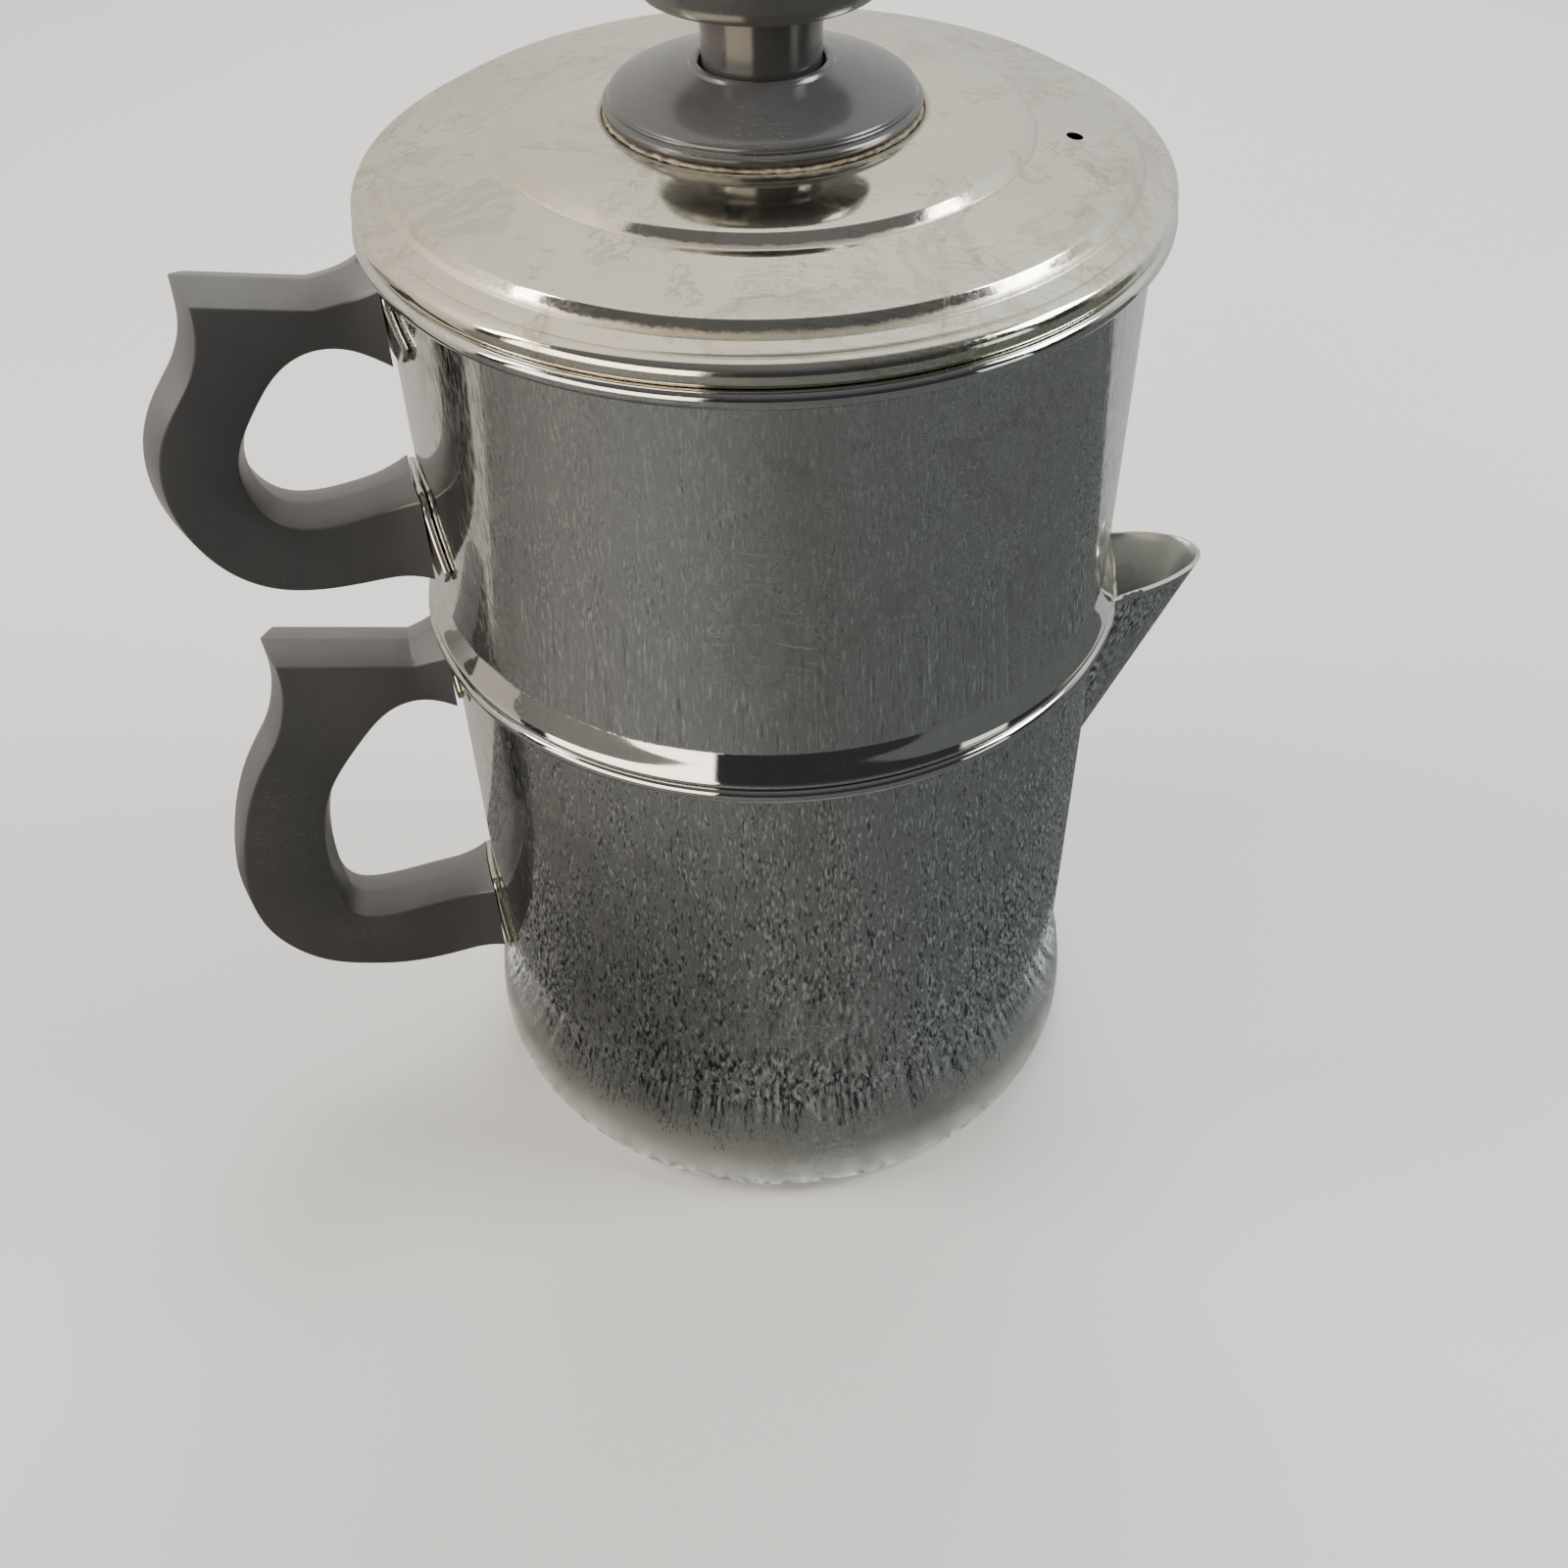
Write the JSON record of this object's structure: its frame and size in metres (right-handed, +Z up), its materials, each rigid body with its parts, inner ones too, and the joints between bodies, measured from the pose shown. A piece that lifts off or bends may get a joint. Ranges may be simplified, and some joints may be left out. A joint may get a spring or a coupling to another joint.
{
  "type": "drip coffee pot",
  "caption": "Two-tier stainless steel drip coffee pot with stepped lid, round knob, spout and black C-shaped handles.",
  "frame": {"origin": "centre of the pot's flat base, on the surface it stands on", "axes": "+Z up along the pot's axis; +X out through the spout; the handles point roughly along -X"},
  "size_m": [0.2163, 0.1468, 0.2576],
  "materials": {
    "body_steel": "polished with fine vertical scratches",
    "inner_steel": "satin",
    "lid_steel": "satin with water marks",
    "trim_steel": "bright",
    "washer_steel": "dull with mineral deposits",
    "bakelite": "semi-gloss, aged"
  },
  "bodies": {
    "server": {"server_shell": "body_steel", "server_spout": "body_steel", "server_handle": "bakelite", "server_upper_bracket": "trim_steel", "server_upper_stud": "trim_steel", "server_lower_bracket": "trim_steel", "server_lower_stud": "trim_steel"},
    "dripper": {"dripper_shell": "body_steel", "dripper_filter_plate": "inner_steel", "dripper_handle": "bakelite", "dripper_upper_bracket": "trim_steel", "dripper_upper_stud": "trim_steel", "dripper_lower_bracket": "trim_steel", "dripper_lower_stud": "trim_steel"},
    "basket": {"basket_cup": "inner_steel", "basket_filter_plate": "inner_steel"},
    "spreader": {"spreader_plate": "inner_steel", "spreader_knob": "bakelite", "spreader_rivet": "trim_steel"},
    "lid": {"lid_shell": "lid_steel", "lid_knob_washer": "washer_steel", "lid_knob_flange": "bakelite", "lid_knob_grip": "bakelite", "lid_lock_washer": "trim_steel", "lid_knob_screw": "trim_steel"}
  },
  "joints": [
    {"name": "dripper_lift", "type": "slide", "parent": "server", "child": "dripper", "axis": [0, 0, 1], "range_m": [0, 0.12]},
    {"name": "lid_lift", "type": "slide", "parent": "dripper", "child": "lid", "axis": [0, 0, 1], "range_m": [0, 0.25]},
    {"name": "spreader_lift", "type": "slide", "parent": "dripper", "child": "spreader", "axis": [0, 0, 1], "range_m": [0, 0.15]},
    {"name": "basket_lift", "type": "slide", "parent": "dripper", "child": "basket", "axis": [0, 0, 1], "range_m": [0, 0.105]}
  ],
  "couplings": [
    {"joint": "spreader_lift", "follows": "lid_lift", "ratio": 0.6},
    {"joint": "basket_lift", "follows": "lid_lift", "ratio": 0.42}
  ]
}
